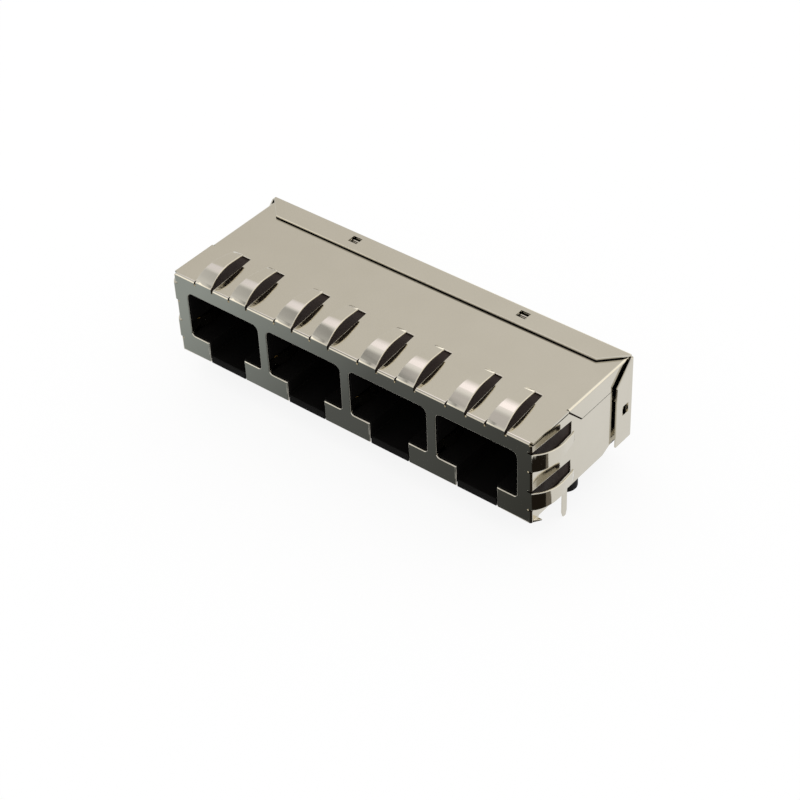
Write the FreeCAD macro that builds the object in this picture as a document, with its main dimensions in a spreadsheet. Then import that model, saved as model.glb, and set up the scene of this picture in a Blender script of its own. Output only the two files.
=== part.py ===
"""A shielded board jack with a row of plug ports, as a parametric assembly in millimetres.

Frame: +X along the row of ports, -Y the plug side, +Z up from the board.
The origin lies on the board, midway between the two locating pegs.
"""

import FreeCAD, Part
import math
import os
import re

import Sketcher

PORTS = 4
CONTACTS = 8

# Driving sizes in millimetres: name, value, what it measures
SIZES = [
    ("sheet", 0.25, "thickness of the shield sheet"),
    ("lap_gap", 0.05, "gap between sheets that lap and between shield and housing"),
    ("fold_radius", 0.35, "outside radius of the shield folds"),
    ("fold_relief", 0.4, "notch where two folds meet at a corner"),
    ("overcut", 0.5, "how far a cut runs past the face it opens"),
    ("shell_height", 12.9, "front plate, lower edge to top face"),
    ("shell_depth", 21.1, "front face to back face of the shield"),
    ("shield_lift", 0.15, "lower edge of the front plate above the board"),
    ("side_rise", 0.25, "lower edge of the side panels above the front plate's"),
    ("side_foot", 1.4, "length of side panel that keeps the full height at the front"),
    ("side_cut_start", 15.4, "front plate to the start of the rear lower corner cut"),
    ("side_cut_length", 2.0, "length of the rear lower corner cut"),
    ("side_cut_rise", 0.9, "height of the rear lower corner cut"),
    ("seam_gap", 0.18, "open seam between top panel and side panel"),
    ("tab_reach", 0.75, "foot tab beyond the side panel"),
    ("tab_length", 1.35, "front face to the rear edge of a foot tab"),
    ("port_web", 1.47, "front plate between neighbouring openings"),
    ("end_margin", 2.2, "front plate beside the outer ports"),
    ("port_width", 12.5, "width of an opening in the front plate"),
    ("port_top", 10.6, "top of an opening above the board"),
    ("shoulder_height", 3.4, "shoulders of an opening above the board"),
    ("latch_width", 6.34, "width of the latch slot below the shoulders"),
    ("port_corner", 0.9, "radius of the upper corners of an opening"),
    ("shoulder_corner", 0.5, "radius of the lower corners of an opening"),
    ("lip_depth", 1.6, "length of the lips folded under the front plate"),
    ("lip_inset", 0.7, "distance of a lip from the edges of its web"),
    ("finger_offset", 3.03, "top finger to the centre of its port"),
    ("side_finger_low", 3.77, "lower side finger above the board"),
    ("side_finger_drop", 3.03, "upper side finger below the top face"),
    ("finger_root", 2.75, "width of a finger at the front fold"),
    ("finger_tip", 1.45, "width of a finger at its free end"),
    ("finger_slit", 0.36, "slit beside a finger at the front fold"),
    ("window_length", 8.3, "front face to the rear edge of a finger window"),
    ("window_taper", 0.68, "how far each side of a window draws in"),
    ("root_rise", 0.08, "start of the finger ramp above the panel face"),
    ("root_depth", 0.6, "depth of the slits in the front fold"),
    ("taper_start", 0.4, "front face to the start of a finger's taper"),
    ("ramp_length", 1.1, "front face to the bend above the ramp"),
    ("ramp_rise", 1.12, "height of that bend above the panel"),
    ("crest_length", 3.6, "front face to the bend at the crest"),
    ("finger_rise", 1.78, "height of that bend above the panel"),
    ("finger_fall", 0.42, "fall from that bend to the bend at the tip"),
    ("flat_length", 6.8, "front face to the bend at the finger tip"),
    ("tip_length", 0.6, "length of the bent tip"),
    ("tip_drop", 0.22, "how far the tip turns back to the panel"),
    ("ramp_bend", 4.6, "radius of the bend above the ramp"),
    ("crest_bend", 6.9, "radius of the bend at the crest"),
    ("tip_bend", 0.4, "radius of the bend at the tip"),
    ("spring_low", 3.75, "lower edge of a plug-ground spring above the board"),
    ("spring_height", 1.7, "width of a plug-ground spring"),
    ("spring_bow", 0.5, "how far a spring stands into the port"),
    ("spring_knee", 1.2, "front face to the first bend of a spring"),
    ("spring_peak", 3.4, "front face to the crown of a spring"),
    ("spring_length", 5.4, "front face to the end of a spring"),
    ("spring_return", 0.1, "how far the spring's end stands into the port"),
    ("skirt_start", 7.9, "front face to the skirt at the top fold"),
    ("skirt_slant", 2.7, "length of the skirt's slanted front edge"),
    ("skirt_height", 3.1, "height of a skirt below the top face"),
    ("skirt_gap", 0.08, "seam between a skirt and the side panel below it"),
    ("flap_length", 3.55, "length of the rear shield's flaps"),
    ("flap_lift", 0.18, "gap between the top flap and the top panel"),
    ("flap_stand", 0.3, "gap between a side flap and the side panel"),
    ("mitre_length", 3.4, "mitre on the flaps, along the fold"),
    ("mitre_land", 0.15, "flap left beside the fold at the end of a mitre"),
    ("lance_setback", 1.0, "back face to the opening behind a lanced tongue"),
    ("lance_opening", 0.55, "length of the opening behind a tongue"),
    ("lance_length", 0.75, "length of a lanced tongue"),
    ("lance_width", 1.4, "width of a lanced tongue"),
    ("lance_catch", 0.27, "how far a tongue's free end reaches into its slot"),
    ("lance_slit", 0.04, "slit beside a tongue"),
    ("lance_room", 0.2, "room around a tongue in the slot below it"),
    ("side_lance_height", 5.7, "side tongues above the board"),
    ("pin_setback", 7.2, "front face to the side ground pins"),
    ("pin_width", 1.0, "width of a ground pin"),
    ("pin_point", 0.5, "width of a ground pin at its end"),
    ("pin_taper", 0.8, "length of a ground pin's tapered end"),
    ("pin_reach", 3.9, "ground pins below the board"),
    ("back_pin_offset", 20.955, "back ground pins from the middle"),
    ("peg_setback", 11.2, "front face to the locating pegs"),
    ("peg_offset", 5.715, "outer port's centre to its locating peg"),
    ("peg_radius", 1.6, "radius of a locating peg"),
    ("peg_reach", 3.2, "locating pegs below the board"),
    ("peg_chamfer", 0.4, "chamfer on a peg's end"),
    ("boss_width", 0.35, "foot around a peg"),
    ("foot_length", 4.0, "length of a foot along the row"),
    ("foot_depth", 3.0, "depth of a foot"),
    ("housing_lift", 0.65, "underside of the housing above the board"),
    ("housing_edge", 0.3, "chamfer on the housing's outer edges"),
    ("cavity_inset", 0.12, "plug cavity inside the front plate's opening"),
    ("cavity_depth", 12.8, "front face to the end of a plug cavity"),
    ("latch_floor", 0.7, "floor under the latch channel"),
    ("latch_depth", 8.5, "front face to the end of the latch channel"),
    ("spring_recess", 0.45, "recess in a port wall behind a spring"),
    ("spring_room", 0.15, "room around a spring in its recess"),
    ("header_depth", 2.4, "front face to the back of the wall above a port"),
    ("roof", 0.7, "roof of the housing"),
    ("insert_width", 11.2, "width of a contact insert"),
    ("insert_clearance", 0.05, "room around a contact insert"),
    ("arm_height", 1.15, "height of the insert's arm"),
    ("contact_pitch", 1.02, "contact to contact in a port"),
    ("contact_width", 0.45, "width of a contact"),
    ("contact_thickness", 0.3, "thickness of a contact"),
    ("contact_cover", 0.1, "contact below the top of its insert"),
    ("slot_clearance", 0.03, "room on each side of a contact"),
    ("hook_setback", 3.35, "front face to the contacts' front bend"),
    ("hook_drop", 1.55, "height of the contacts' front bend"),
    ("hook_cut", 0.45, "length taken off the corners of the contacts' front bend"),
    ("knee_cut", 0.4, "length taken off the corner of the contacts' rear bend"),
    ("beam_length", 7.5, "front bend to the free end of a contact"),
    ("beam_drop", 2.05, "fall of a contact over its beam"),
    ("tail_margin", 1.3, "housing back to the rear row of solder tails"),
    ("row_spacing", 2.54, "front row to rear row of solder tails"),
    ("tail_reach", 3.4, "solder tails below the board"),
]

NAMES = {name for name, _, _ in SIZES}

# Planes and edges that several pieces share, written with the sizes above
FRONT = "(-peg_setback)"
BACK = "(shell_depth - peg_setback)"
TOP = "(shield_lift + shell_height)"
PITCH = "(port_width + port_web)"
SIDE = f"(({PITCH} * {PORTS - 1} + port_width) / 2 + end_margin)"
OUTER_SIDE = f"({SIDE} + flap_stand + sheet)"
OUTER_TOP = f"({TOP} + flap_lift + sheet)"
SIDE_EDGE = "(shield_lift + side_rise)"
PANEL_BACK = f"({BACK} - fold_radius)"
HOUSING_FRONT = f"({FRONT} + sheet + lap_gap)"
HOUSING_BACK = f"({BACK} - sheet - lap_gap)"
HOUSING_SIDE = f"({SIDE} - sheet - lap_gap)"
HOUSING_TOP = f"({TOP} - sheet - lap_gap)"
FIRST_PORT = f"(-{PITCH} * {(PORTS - 1) / 2})"
CAVITY_HALF = "(port_width / 2 - cavity_inset)"
CAVITY_FLOOR = "(shoulder_height + cavity_inset)"
CAVITY_TOP = "(port_top - cavity_inset)"
CAVITY_END = f"({FRONT} + cavity_depth)"
BAY_HALF = "(insert_width / 2 + insert_clearance)"
BAY_ROOF = f"({HOUSING_TOP} - roof)"
INSERT_TOP = f"({BAY_ROOF} - insert_clearance)"
INSERT_BACK = f"({HOUSING_BACK} - insert_clearance)"
CONTACT_RUN = f"({INSERT_TOP} - contact_cover - contact_thickness / 2)"
HOOK = f"({FRONT} + hook_setback)"
REAR_ROW = f"({HOUSING_BACK} - tail_margin)"
FRONT_ROW = f"({REAR_ROW} - row_spacing)"
FLAP_FRONT = f"({BACK} - flap_length)"
MITRE_END = f"({BACK} - fold_radius - mitre_land)"
LANCE_TIP = f"({BACK} - lance_setback - lance_opening)"
LANCE_ROOT = f"({LANCE_TIP} - lance_length)"
PEG = f"({PITCH} * {(PORTS - 1) / 2} + peg_offset)"

# Fingers of the first port and of one end: name, middle
TOP_FINGERS = [
    ("finger_left", f"({FIRST_PORT} - finger_offset)"),
    ("finger_right", f"({FIRST_PORT} + finger_offset)"),
]
SIDE_FINGERS = [
    ("finger_low", "side_finger_low"),
    ("finger_high", f"({TOP} - side_finger_drop)"),
]

doc = FreeCAD.newDocument("multi_port_jack")
sizes = doc.addObject("Spreadsheet::Sheet", "Sizes")
for row, (name, number, meaning) in enumerate(SIZES, start=1):
    sizes.set(f"A{row}", name)
    sizes.set(f"B{row}", str(number))
    sizes.setAlias(f"B{row}", name)
    sizes.set(f"C{row}", meaning)
doc.recompute()


def linked(text):
    """Write an expression of size names as one that points at the sheet's cells."""
    return re.sub(r"[a-z_]+", lambda word: f"Sizes.{word[0]}" if word[0] in NAMES else word[0], text)


def measure(text):
    """Give the present value of an expression of size names."""
    return float(sizes.evalExpression(linked(text)))


def bind(thing, field, text):
    """Tie a property to an expression of size names."""
    thing.setExpression(field, linked(text))


# Sketches

def new_body(label):
    """Start a body for one sub-part."""
    body = doc.addObject("PartDesign::Body", label)
    body.Label = label
    return body


def origin_feature(body, role):
    """Find an axis or plane of a body's own origin."""
    return next(item for item in body.Origin.OriginFeatures if item.Role == role)


def new_sketch(body, name, plane, lift):
    """Start a sketch on one of the body's planes, lifted along that plane's normal."""
    sketch = body.newObject("Sketcher::SketchObject", name)
    sketch.AttachmentSupport = [(origin_feature(body, plane), "")]
    sketch.MapMode = "FlatFace"
    bind(sketch, "AttachmentOffset.Base.z", lift)
    return sketch


def place_point(sketch, shape, end, across, along):
    """Hold one point of the sketch at a pair of expressions."""
    for kind, text in (("DistanceX", across), ("DistanceY", along)):
        index = sketch.addConstraint(Sketcher.Constraint(kind, -1, 1, shape, end, measure(text)))
        sketch.setExpression(f"Constraints[{index}]", linked(text))


def round_corner(before, corner, after, radius):
    """Work out where an arc of the radius leaves the two straight edges of a corner."""
    back = (before - corner).normalize()
    ahead = (after - corner).normalize()
    half = back.getAngle(ahead) / 2
    reach = radius / math.tan(half)
    centre = corner + (back + ahead).normalize() * (radius / math.sin(half))
    return corner + back * reach, corner + ahead * reach, centre


def draw(sketch, corners, closed=True):
    """Draw straight edges through corners (across, along[, radius]), rounded where a radius is given."""
    count = len(corners)
    points = [FreeCAD.Vector(measure(corner[0]), measure(corner[1]), 0) for corner in corners]
    enter, leave = list(points), list(points)
    arcs = {}
    for index, corner in enumerate(corners):
        if len(corner) == 3:
            around = points[index - 1], points[index], points[(index + 1) % count]
            enter[index], leave[index], arcs[index] = round_corner(*around, measure(corner[2]))
    edges = {}
    for index in range(count if closed else count - 1):
        line = Part.LineSegment(leave[index], enter[(index + 1) % count])
        edges[index] = sketch.addGeometry(line, False)
    for index, corner in enumerate(corners):
        before, after = edges.get((index - 1) % count), edges.get(index)
        if index in arcs:
            ends = enter[index], leave[index]
            join_with_arc(sketch, corner, points[index], arcs[index], ends, (before, after))
        elif after is None:
            place_point(sketch, before, 2, corner[0], corner[1])
        else:
            place_point(sketch, after, 1, corner[0], corner[1])
            if before is not None:
                sketch.addConstraint(Sketcher.Constraint("Coincident", before, 2, after, 1))
    return sketch


def join_with_arc(sketch, corner, point, centre, ends, lines):
    """Round one corner: both lines point at the corner and are tangent to the arc between its ends."""
    before, after = lines
    first, last = ends[0] - centre, ends[1] - centre
    begin, end = math.atan2(first.y, first.x), math.atan2(last.y, last.x)
    forward = (end - begin) % (2 * math.pi) < math.pi
    angles = (begin, end) if forward else (end, begin)
    circle = Part.Circle(centre, FreeCAD.Vector(0, 0, 1), first.Length)
    arc = sketch.addGeometry(Part.ArcOfCircle(circle, *angles), False)
    mark = sketch.addGeometry(Part.Point(point), True)
    place_point(sketch, mark, 1, corner[0], corner[1])
    sketch.addConstraint([
        Sketcher.Constraint("Tangent", before, 2, arc, 1 if forward else 2),
        Sketcher.Constraint("Tangent", arc, 2 if forward else 1, after, 1),
        Sketcher.Constraint("PointOnObject", mark, 1, before),
        Sketcher.Constraint("PointOnObject", mark, 1, after),
    ])
    index = sketch.addConstraint(Sketcher.Constraint("Radius", arc, first.Length))
    sketch.setExpression(f"Constraints[{index}]", linked(corner[2]))


def draw_circle(sketch, across, along, radius):
    """Draw one circle at a pair of expressions."""
    centre = FreeCAD.Vector(measure(across), measure(along), 0)
    circle = sketch.addGeometry(Part.Circle(centre, FreeCAD.Vector(0, 0, 1), measure(radius)), False)
    place_point(sketch, circle, 3, across, along)
    index = sketch.addConstraint(Sketcher.Constraint("Radius", circle, measure(radius)))
    sketch.setExpression(f"Constraints[{index}]", linked(radius))


def rectangle(left, right, low, high):
    """Give the four corners of a rectangle."""
    return [(left, low), (right, low), (right, high), (left, high)]


def outline(body, name, plane, lift, *loops):
    """Make a sketch of one or more closed loops of corners."""
    sketch = new_sketch(body, name, plane, lift)
    for corners in loops:
        draw(sketch, corners)
    return sketch


# Features

def extrude(body, kind, sketch, length, side="One side", back=False):
    """Pad or pocket a sketch by an expression."""
    feature = body.newObject(f"PartDesign::{kind}", f"{sketch.Name}_{kind.lower()}")
    feature.Profile = sketch
    feature.SideType = side
    feature.Reversed = back
    bind(feature, "Length", length)
    doc.recompute()
    return feature


def pad(body, sketch, length, **options):
    """Add the sketch's outline along its normal."""
    return extrude(body, "Pad", sketch, length, **options)


def pocket(body, sketch, length, **options):
    """Cut the sketch's outline against its normal, and make sure that it cut something."""
    before = body.Tip.Shape.Volume
    feature = extrude(body, "Pocket", sketch, length, **options)
    if feature.Shape.Volume > before - 1e-6:
        raise RuntimeError(f"{feature.Name} cuts nothing")
    return feature


def pattern(body, name, features, axis, count, length):
    """Repeat features in a row along one of the body's axes."""
    feature = body.newObject("PartDesign::LinearPattern", name)
    feature.Originals = features
    feature.Direction = (origin_feature(body, axis), [""])
    feature.Occurrences = count
    bind(feature, "Length", length)
    body.Tip = feature
    doc.recompute()
    return feature


def over_ports(body, name, features):
    """Repeat the first port's features at every port."""
    return pattern(body, name, features, "X_Axis", PORTS, f"{PITCH} * {PORTS - 1}")


def mirror(body, name, features):
    """Repeat features on the other end of the row."""
    feature = body.newObject("PartDesign::Mirrored", name)
    feature.Originals = features
    feature.MirrorPlane = (origin_feature(body, "YZ_Plane"), [""])
    body.Tip = feature
    doc.recompute()
    return feature


def edges_through(shape, places):
    """Name the edges of a shape that pass through the given points (across, along, up)."""
    found = []
    for place in places:
        vertex = Part.Vertex(*[measure(text) for text in place])
        gaps = [edge.distToShape(vertex)[0] for edge in shape.Edges]
        found.append(f"Edge{gaps.index(min(gaps)) + 1}")
    return found


def soften(body, name, kind, places, size):
    """Fillet or chamfer the edges that pass through the given points."""
    base = body.Tip
    feature = body.newObject(f"PartDesign::{kind}", name)
    feature.Base = (base, edges_through(base.Shape, places))
    bind(feature, "Radius" if kind == "Fillet" else "Size", size)
    doc.recompute()
    return feature


# Front shield

def finger_views(on_top, middle):
    """Give functions that place a finger's plan (across, along) and profile (along, up) on the planes."""
    if on_top:
        def plan(across, along):
            return f"{middle} + {across}", f"{FRONT} + {along}"

        def profile(along, up):
            return f"{FRONT} + {along}", f"{TOP} + {up}"
    else:
        def plan(across, along):
            return f"{FRONT} + {along}", f"{middle} + {across}"

        def profile(along, up):
            return f"{SIDE} + {up}", f"{FRONT} + {along}"

    return plan, profile


def panel_planes(on_top):
    """Name the plane a panel lies in, its height and the plane that shows its profile."""
    return ("XY_Plane", TOP, "YZ_Plane") if on_top else ("YZ_Plane", SIDE, "XY_Plane")


def finger_window(on_top, middle):
    """Give the corners of the window that a finger is cut from, open at the front fold."""
    plan, _ = finger_views(on_top, middle)
    mouth = "(finger_root / 2 + finger_slit)"
    throat = f"({mouth} - window_taper)"
    return [
        plan(f"(-{mouth})", "(-overcut)"),
        plan(mouth, "(-overcut)"),
        plan(throat, "window_length"),
        plan(f"(-{throat})", "window_length"),
    ]


def inner_corner(before, corner, after):
    """Give the corner that lies one sheet thickness inside a corner of a strip's outer face."""
    first = f"atan2({corner[1]} - {before[1]}; {corner[0]} - {before[0]})"
    second = f"atan2({after[1]} - {corner[1]}; {after[0]} - {corner[0]})"
    middle = f"(({first} + {second}) / 2)"
    reach = f"sheet / cos(({second} - {first}) / 2)"
    return f"({corner[0]} + {reach} * sin({middle}))", f"({corner[1]} - {reach} * cos({middle}))"


def add_finger(body, name, on_top, middle):
    """Form the tapered spring finger that bows from the front fold over its window."""
    plan, profile = finger_views(on_top, middle)
    plan_plane, face, profile_plane = panel_planes(on_top)
    tip = "(flat_length + tip_length)"
    course = [
        ("0", "(-root_depth)"),
        ("0", "root_rise"),
        ("ramp_length", "ramp_rise"),
        ("crest_length", "finger_rise"),
        ("flat_length", "(finger_rise - finger_fall)"),
        (tip, "(finger_rise - finger_fall - tip_drop)"),
    ]
    radii = ["fold_radius", "ramp_bend", "crest_bend", "tip_bend"]
    slope = "sqrt(tip_length ^ 2 + tip_drop ^ 2)"
    end = f"({tip} - sheet * tip_drop / {slope})", f"({course[-1][1]} - sheet * tip_length / {slope})"
    corners = [profile(*course[0])]
    corners += [(*profile(*place), radius) for place, radius in zip(course[1:-1], radii)]
    corners += [profile(*course[-1]), profile(*end)]
    for index in range(len(radii), 0, -1):
        inside = inner_corner(*course[index - 1:index + 2])
        corners.append((*profile(*inside), f"({radii[index - 1]} - sheet)"))
    corners.append(profile("sheet", "(-root_depth)"))
    strip = outline(body, f"{name}_strip", profile_plane, middle, corners)
    sides = []
    for sign in ("-", "+"):
        sides.append([
            plan(f"({sign}finger_root / 2)", "taper_start"),
            plan(f"({sign}(finger_root / 2 + overcut))", "taper_start"),
            plan(f"({sign}(finger_root / 2 + overcut))", f"({tip} + overcut)"),
            plan(f"({sign}finger_tip / 2)", f"({tip} + overcut)"),
            plan(f"({sign}finger_tip / 2)", tip),
        ])
    strip = pad(body, strip, "finger_root", side="Symmetric")
    trim = outline(body, f"{name}_taper", plan_plane, f"{face} - root_depth", *sides)
    return [strip, pocket(body, trim, "root_depth + finger_rise + overcut", back=True)]


def lance_slot(on_top, middle):
    """Give the corners of the slot in a panel that a tongue of the rear shield catches in."""
    half = "(lance_width / 2 + lance_room)"
    across = f"{middle} - {half}", f"{middle} + {half}"
    along = LANCE_ROOT, f"{LANCE_TIP} + lance_room"
    return rectangle(*across, *along) if on_top else rectangle(*along, *across)


def port_outline(centre, floor):
    """Give the corners of a plug opening: a body with a narrower latch slot below it."""
    half, latch = "port_width / 2", "latch_width / 2"
    return [
        (f"{centre} - {half}", "port_top", "port_corner"),
        (f"{centre} + {half}", "port_top", "port_corner"),
        (f"{centre} + {half}", "shoulder_height", "shoulder_corner"),
        (f"{centre} + {latch}", "shoulder_height"),
        (f"{centre} + {latch}", floor),
        (f"{centre} - {latch}", floor),
        (f"{centre} - {latch}", "shoulder_height"),
        (f"{centre} - {half}", "shoulder_height", "shoulder_corner"),
    ]


def add_plug_springs(body):
    """Add a port's two springs, folded back from the sides of its opening to touch a plug's shield."""
    loops = []
    for sign in ("-", "+"):
        def at(inward, along):
            return f"{FIRST_PORT} {sign} (port_width / 2 - {inward})", f"{FRONT} + {along}"

        loops.append([
            at("0", "0"),
            (*at("0", "spring_knee"), "spring_bow"),
            (*at("spring_bow", "spring_peak"), "spring_bow"),
            at("spring_return", "spring_length"),
            at("(spring_return - sheet)", "spring_length"),
            (*at("(spring_bow - sheet)", "spring_peak"), "spring_bow"),
            (*at("(-sheet)", "spring_knee"), "spring_bow"),
            at("(-sheet)", "0"),
        ])
    sketch = outline(body, "plug_springs", "XY_Plane", "spring_low", *loops)
    return pad(body, sketch, "spring_height")


def pin_outline(along, root):
    """Give the corners of a flat ground pin with a tapered end."""
    wide, narrow = "pin_width / 2", "pin_point / 2"
    return [
        (f"{along} - {wide}", root),
        (f"{along} - {wide}", "pin_taper - pin_reach"),
        (f"{along} - {narrow}", "-pin_reach"),
        (f"{along} + {narrow}", "-pin_reach"),
        (f"{along} + {wide}", "pin_taper - pin_reach"),
        (f"{along} + {wide}", root),
    ]


def make_springs():
    """Form what stands out of the front shield's sheet: fingers, plug springs and ground pins."""
    body = new_body("shield_springs")
    body.AllowCompound = True
    pair = []
    for name, middle in TOP_FINGERS:
        pair += add_finger(body, name, True, middle)
    over_ports(body, "top_fingers", pair)
    over_ports(body, "all_plug_springs", [add_plug_springs(body)])

    at_end = []
    for name, middle in SIDE_FINGERS:
        at_end += add_finger(body, name, False, middle)
    pin = pin_outline(f"({FRONT} + pin_setback)", f"{SIDE_EDGE} + overcut")
    at_end.append(pad(body, outline(body, "ground_pin", "YZ_Plane", f"{SIDE} - sheet", pin), "sheet"))
    mirror(body, "end_springs", at_end)
    return body


def make_front_shield():
    """Fold the front plate, top panel and side panels from one sheet, and join its springs to it."""
    body = new_body("front_shield")
    below = "shield_lift - overcut"
    block = rectangle(f"-{SIDE}", SIDE, "shield_lift", TOP)
    block = outline(body, "blank", "XZ_Plane", f"-{FRONT}", block)
    pad(body, block, f"{PANEL_BACK} - {FRONT}", back=True)
    hollow = rectangle(f"sheet - {SIDE}", f"{SIDE} - sheet", below, f"{TOP} - sheet")
    hollow = outline(body, "hollow", "XZ_Plane", f"-({FRONT} + sheet)", hollow)
    pocket(body, hollow, "shell_depth")

    corner_y = (f"{FRONT} - overcut", f"{FRONT} + fold_relief")
    notch = outline(
        body, "corner_relief", "XY_Plane", TOP,
        rectangle(f"{SIDE} - fold_relief", f"{SIDE} + overcut", *corner_y),
        rectangle(f"-{SIDE} - overcut", f"fold_relief - {SIDE}", *corner_y),
    )
    pocket(body, notch, "fold_relief")
    halfway = f"({TOP} + shield_lift) / 2"
    outer = [("0", FRONT, TOP), (SIDE, FRONT, halfway), (f"-{SIDE}", FRONT, halfway)]
    soften(body, "outer_folds", "Fillet", outer, "fold_radius")
    inner_y, inner_side = f"{FRONT} + sheet", f"({SIDE} - sheet)"
    inner = [("0", inner_y, f"{TOP} - sheet")]
    inner += [(inner_side, inner_y, halfway), (f"-{inner_side}", inner_y, halfway)]
    soften(body, "inner_folds", "Fillet", inner, "fold_radius - sheet")

    skirt_front = f"{FRONT} + skirt_start"
    skirt_foot = f"{skirt_front} + skirt_slant"
    skirt_low = f"{TOP} - skirt_height"
    seam_start = f"{FRONT} + fold_relief - lap_gap"
    seam = outline(body, "side_seam", "YZ_Plane", SIDE, [
        (seam_start, f"{TOP} - sheet"),
        (skirt_front, f"{TOP} - sheet"),
        (skirt_foot, skirt_low),
        (BACK, skirt_low),
        (BACK, f"{skirt_low} - skirt_gap"),
        (f"{skirt_foot} - seam_gap", f"{skirt_low} - skirt_gap"),
        (f"{skirt_front} - seam_gap", f"{TOP} - sheet - seam_gap"),
        (seam_start, f"{TOP} - sheet - seam_gap"),
    ])
    seam = pocket(body, seam, "2 * sheet")
    slit_y = f"{skirt_front} - seam_gap", skirt_front
    slit = rectangle(f"{SIDE} - fold_relief", f"{SIDE} + overcut", *slit_y)
    slit = pocket(body, outline(body, "skirt_slit", "XY_Plane", TOP, slit), "sheet + seam_gap")
    mirror(body, "seams", [seam, slit])
    skirt_middle = f"({skirt_foot} + {PANEL_BACK}) / 2"
    folds = [(SIDE, skirt_middle, TOP), (f"-{SIDE}", skirt_middle, TOP)]
    soften(body, "skirt_folds", "Fillet", folds, "fold_radius")
    under = f"{TOP} - sheet"
    folds = [(inner_side, skirt_middle, under), (f"-{inner_side}", skirt_middle, under)]
    soften(body, "inner_skirt_folds", "Fillet", folds, "fold_radius - sheet")

    cut_start = f"{FRONT} + side_cut_start"
    edge = outline(body, "side_edges", "YZ_Plane", "0", [
        (f"{FRONT} + side_foot", below),
        (BACK, below),
        (BACK, f"{SIDE_EDGE} + side_cut_rise"),
        (f"{cut_start} + side_cut_length", f"{SIDE_EDGE} + side_cut_rise"),
        (cut_start, SIDE_EDGE),
        (f"{FRONT} + side_foot + side_rise", SIDE_EDGE),
    ])
    pocket(body, edge, f"2 * {SIDE} + overcut", side="Symmetric")

    opening = outline(body, "port", "XZ_Plane", f"-{FRONT}", port_outline(FIRST_PORT, below))
    over_ports(body, "ports", [pocket(body, opening, "sheet + overcut")])

    lip_y = (f"{FRONT} + sheet", f"{FRONT} + lip_depth")
    lips = []
    for web in range(PORTS - 1):
        middle = f"{FIRST_PORT} + {PITCH} * {web + 0.5}"
        half = f"(({PITCH} - latch_width) / 2 - lip_inset)"
        lips.append(rectangle(f"{middle} - {half}", f"{middle} + {half}", *lip_y))
    last_slot = f"(-{FIRST_PORT} + latch_width / 2 + lip_inset)"
    end_lip = f"({SIDE} - lip_inset)"
    lips.append(rectangle(last_slot, end_lip, *lip_y))
    lips.append(rectangle(f"-{end_lip}", f"-{last_slot}", *lip_y))
    pad(body, outline(body, "lips", "XY_Plane", "shield_lift", *lips), "sheet")
    tab = outline(body, "foot_tab", "XY_Plane", "shield_lift", [
        (inner_side, f"{FRONT} + fold_radius"),
        (SIDE, f"{FRONT} + fold_radius"),
        (f"{SIDE} + tab_reach", f"{FRONT} + tab_length"),
        (inner_side, f"{FRONT} + tab_length"),
    ])
    mirror(body, "foot_tabs", [pad(body, tab, "sheet")])

    windows = []
    for port in range(PORTS):
        windows += [finger_window(True, f"({middle} + {PITCH} * {port})") for _, middle in TOP_FINGERS]
    pocket(body, outline(body, "top_windows", "XY_Plane", TOP, *windows), "root_depth")
    windows = [finger_window(False, middle) for _, middle in SIDE_FINGERS]
    windows = pocket(body, outline(body, "side_windows", "YZ_Plane", SIDE, *windows), "root_depth")
    top_slot = outline(body, "top_slot", "XY_Plane", TOP, lance_slot(True, PITCH))
    side_slot = outline(body, "side_slot", "YZ_Plane", SIDE, lance_slot(False, "side_lance_height"))
    slots = [pocket(body, slot, "sheet + lap_gap") for slot in (top_slot, side_slot)]
    mirror(body, "end_cuts", [windows, *slots])

    join = body.newObject("PartDesign::Boolean", "joined_springs")
    join.Type = "Fuse"
    join.addObject(make_springs())
    doc.recompute()
    return body


# Rear shield

def add_tongue(body, name, on_top, middle):
    """Form a lanced tongue: it dips towards the rear and catches in a slot of the front shield."""
    _, _, profile_plane = panel_planes(on_top)
    dip = f"({'flap_lift' if on_top else 'flap_stand'} + lance_catch)"
    corners = [(LANCE_ROOT, "0"), (LANCE_TIP, f"(-{dip})")]
    corners += [(LANCE_TIP, f"(-{dip} - sheet)"), (LANCE_ROOT, "(-sheet)")]
    if on_top:
        corners = [(along, f"{OUTER_TOP} + {up}") for along, up in corners]
    else:
        corners = [(f"{OUTER_SIDE} + {up}", along) for along, up in corners]
    tongue = outline(body, name, profile_plane, middle, corners)
    return pad(body, tongue, "lance_width", side="Symmetric")


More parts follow.
